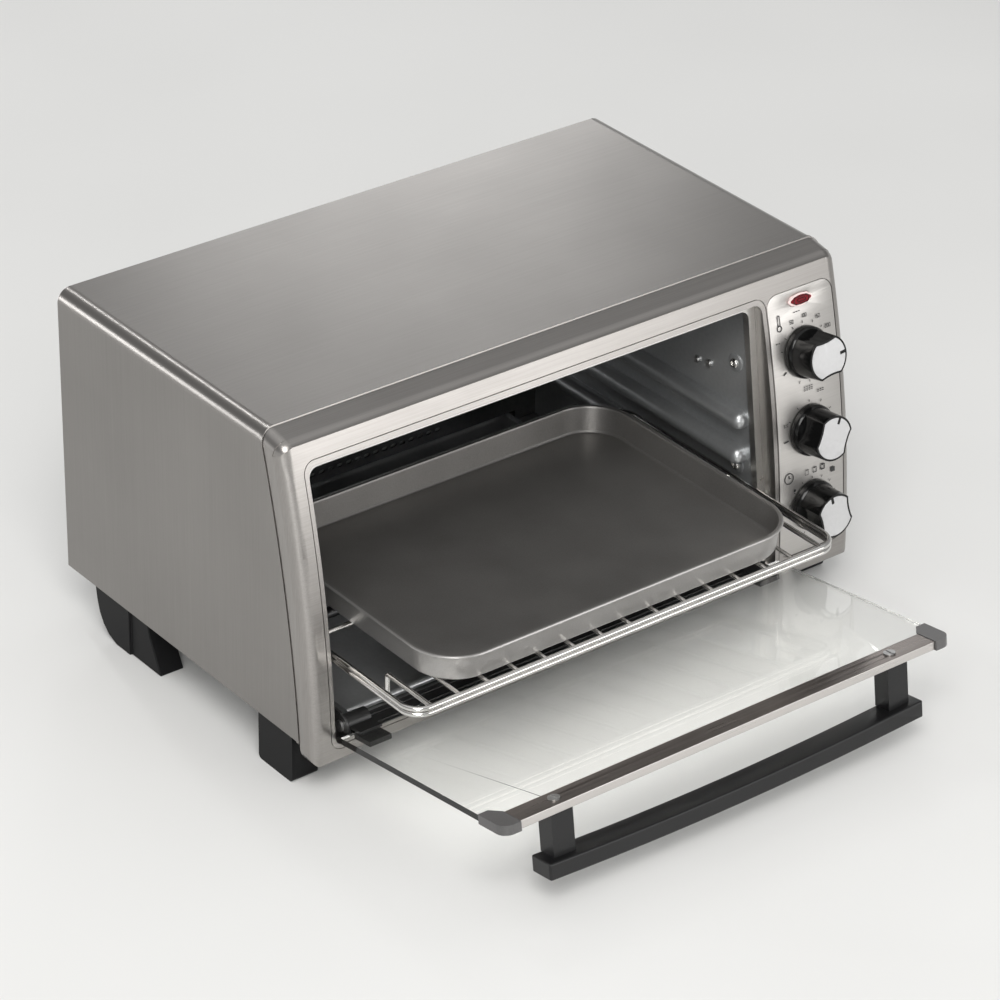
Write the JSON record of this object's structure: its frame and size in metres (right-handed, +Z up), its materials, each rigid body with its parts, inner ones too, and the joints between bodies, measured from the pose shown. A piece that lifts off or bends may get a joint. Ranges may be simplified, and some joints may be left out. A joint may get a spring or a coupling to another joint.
{
  "type": "toaster oven",
  "caption": "Countertop toaster oven with a drop-down glass door, a wire rack that slides out with the door, a bake pan, turning knobs and a rear crumb tray.",
  "frame": {"origin": "middle of the whole object in plan with the door open, on the plane the feet stand on", "axes": "+X to the right seen from the front, +Y towards the back of the oven, +Z up; the door opens towards -Y"},
  "size_m": [0.4112, 0.4246, 0.2219],
  "materials": {
    "wrap_steel": "brushed",
    "frame_steel": "brushed",
    "panel_silver": "satin",
    "strip_steel": "brushed",
    "plated_steel": "satin",
    "cavity_steel": "galvanised",
    "dark_steel": "satin",
    "black_steel": "satin",
    "heater_sheath": "satin",
    "ceramic": "matt",
    "foot_plastic": "matt",
    "black_plastic": "satin",
    "grey_plastic": "satin",
    "white_plastic": "matt",
    "phenolic": "matt",
    "door_glass": "clear",
    "chrome_wire": "polished",
    "nonstick_pan": "satin",
    "knob_black": "gloss",
    "cap_silver": "satin",
    "lens_red": "gloss",
    "rim_pink": "gloss",
    "lamp_glass": "gloss"
  },
  "bodies": {
    "oven": {"outer_wrap": "wrap_steel", "front_frame": "frame_steel", "control_panel": "panel_silver", "back_cover": "plated_steel", "base_pan": "plated_steel", "cavity_left": "cavity_steel", "cavity_right": "cavity_steel", "cavity_top": "cavity_steel", "cavity_back": "cavity_steel", "cavity_mouth": "cavity_steel", "heat_shield": "plated_steel", "upper_elements": "heater_sheath", "lower_elements": "heater_sheath", "element_bushings": "ceramic", "cavity_rivets": "plated_steel", "foot_front_left": "foot_plastic", "foot_front_right": "foot_plastic", "foot_rear_left": "foot_plastic", "foot_rear_right": "foot_plastic", "foot_screws": "plated_steel", "hinge_bracket_left": "dark_steel", "hinge_bracket_right": "dark_steel", "hinge_pin_left": "plated_steel", "hinge_pin_right": "plated_steel", "body_thermostat": "phenolic", "body_function": "phenolic", "body_timer": "phenolic", "timer_bell": "plated_steel", "lamp_lens": "lens_red", "lamp_rim": "rim_pink", "neon_lamp": "lamp_glass", "cord_gland": "black_plastic", "terminal_block": "white_plastic", "rear_spacers": "foot_plastic", "case_screws": "plated_steel"},
    "door": {"door_glass": "door_glass", "door_strip": "strip_steel", "door_rail": "black_steel", "door_lug_left": "black_steel", "door_lug_right": "black_steel", "door_cap_left": "grey_plastic", "door_cap_right": "grey_plastic", "handle_bar": "black_plastic", "handle_posts": "black_plastic", "handle_screws": "plated_steel"},
    "rack": {"rack_frame": "chrome_wire", "rack_wires": "chrome_wire", "rack_hooks": "chrome_wire", "rack_guard": "chrome_wire"},
    "pan": {"bake_pan": "nonstick_pan"},
    "thermostat_dial": {"knob_thermostat": "knob_black", "cap_thermostat": "cap_silver", "shaft_thermostat": "plated_steel"},
    "function_dial": {"knob_function": "knob_black", "cap_function": "cap_silver", "shaft_function": "plated_steel"},
    "timer_dial": {"knob_timer": "knob_black", "cap_timer": "cap_silver", "shaft_timer": "plated_steel"},
    "tray": {"crumb_tray": "cavity_steel"}
  },
  "joints": [
    {"name": "door_hinge", "type": "hinge", "parent": "oven", "child": "door", "pos_m": [-0.023, -0.04012, 0.0377], "axis": [-1, 0, 0], "range_deg": [0, 90]},
    {"name": "rack_slide", "type": "slide", "parent": "oven", "child": "rack", "axis": [0, 1, 0], "range_m": [0, 0.088]},
    {"name": "pan_lift", "type": "slide", "parent": "rack", "child": "pan", "axis": [0, 0, 1], "range_m": [0, 0.02]},
    {"name": "tray_slide", "type": "slide", "parent": "oven", "child": "tray", "axis": [0, 1, 0], "range_m": [0, 0.2]},
    {"name": "thermostat_turn", "type": "hinge", "parent": "oven", "child": "thermostat_dial", "pos_m": [0.172, -0.03164, 0.1645], "axis": [0, -0.9775, 0.2109], "range_deg": [-50, 220]},
    {"name": "function_turn", "type": "hinge", "parent": "oven", "child": "function_dial", "pos_m": [0.172, -0.04061, 0.115], "axis": [0, -0.9894, 0.1453], "range_deg": [-90, 60]},
    {"name": "timer_turn", "type": "hinge", "parent": "oven", "child": "timer_dial", "pos_m": [0.172, -0.04625, 0.065], "axis": [0, -0.9969, 0.0791], "range_deg": [-285, 15]}
  ],
  "couplings": [
    {"joint": "rack_slide", "follows": "door_hinge", "m_per_rad": 0.056022}
  ]
}
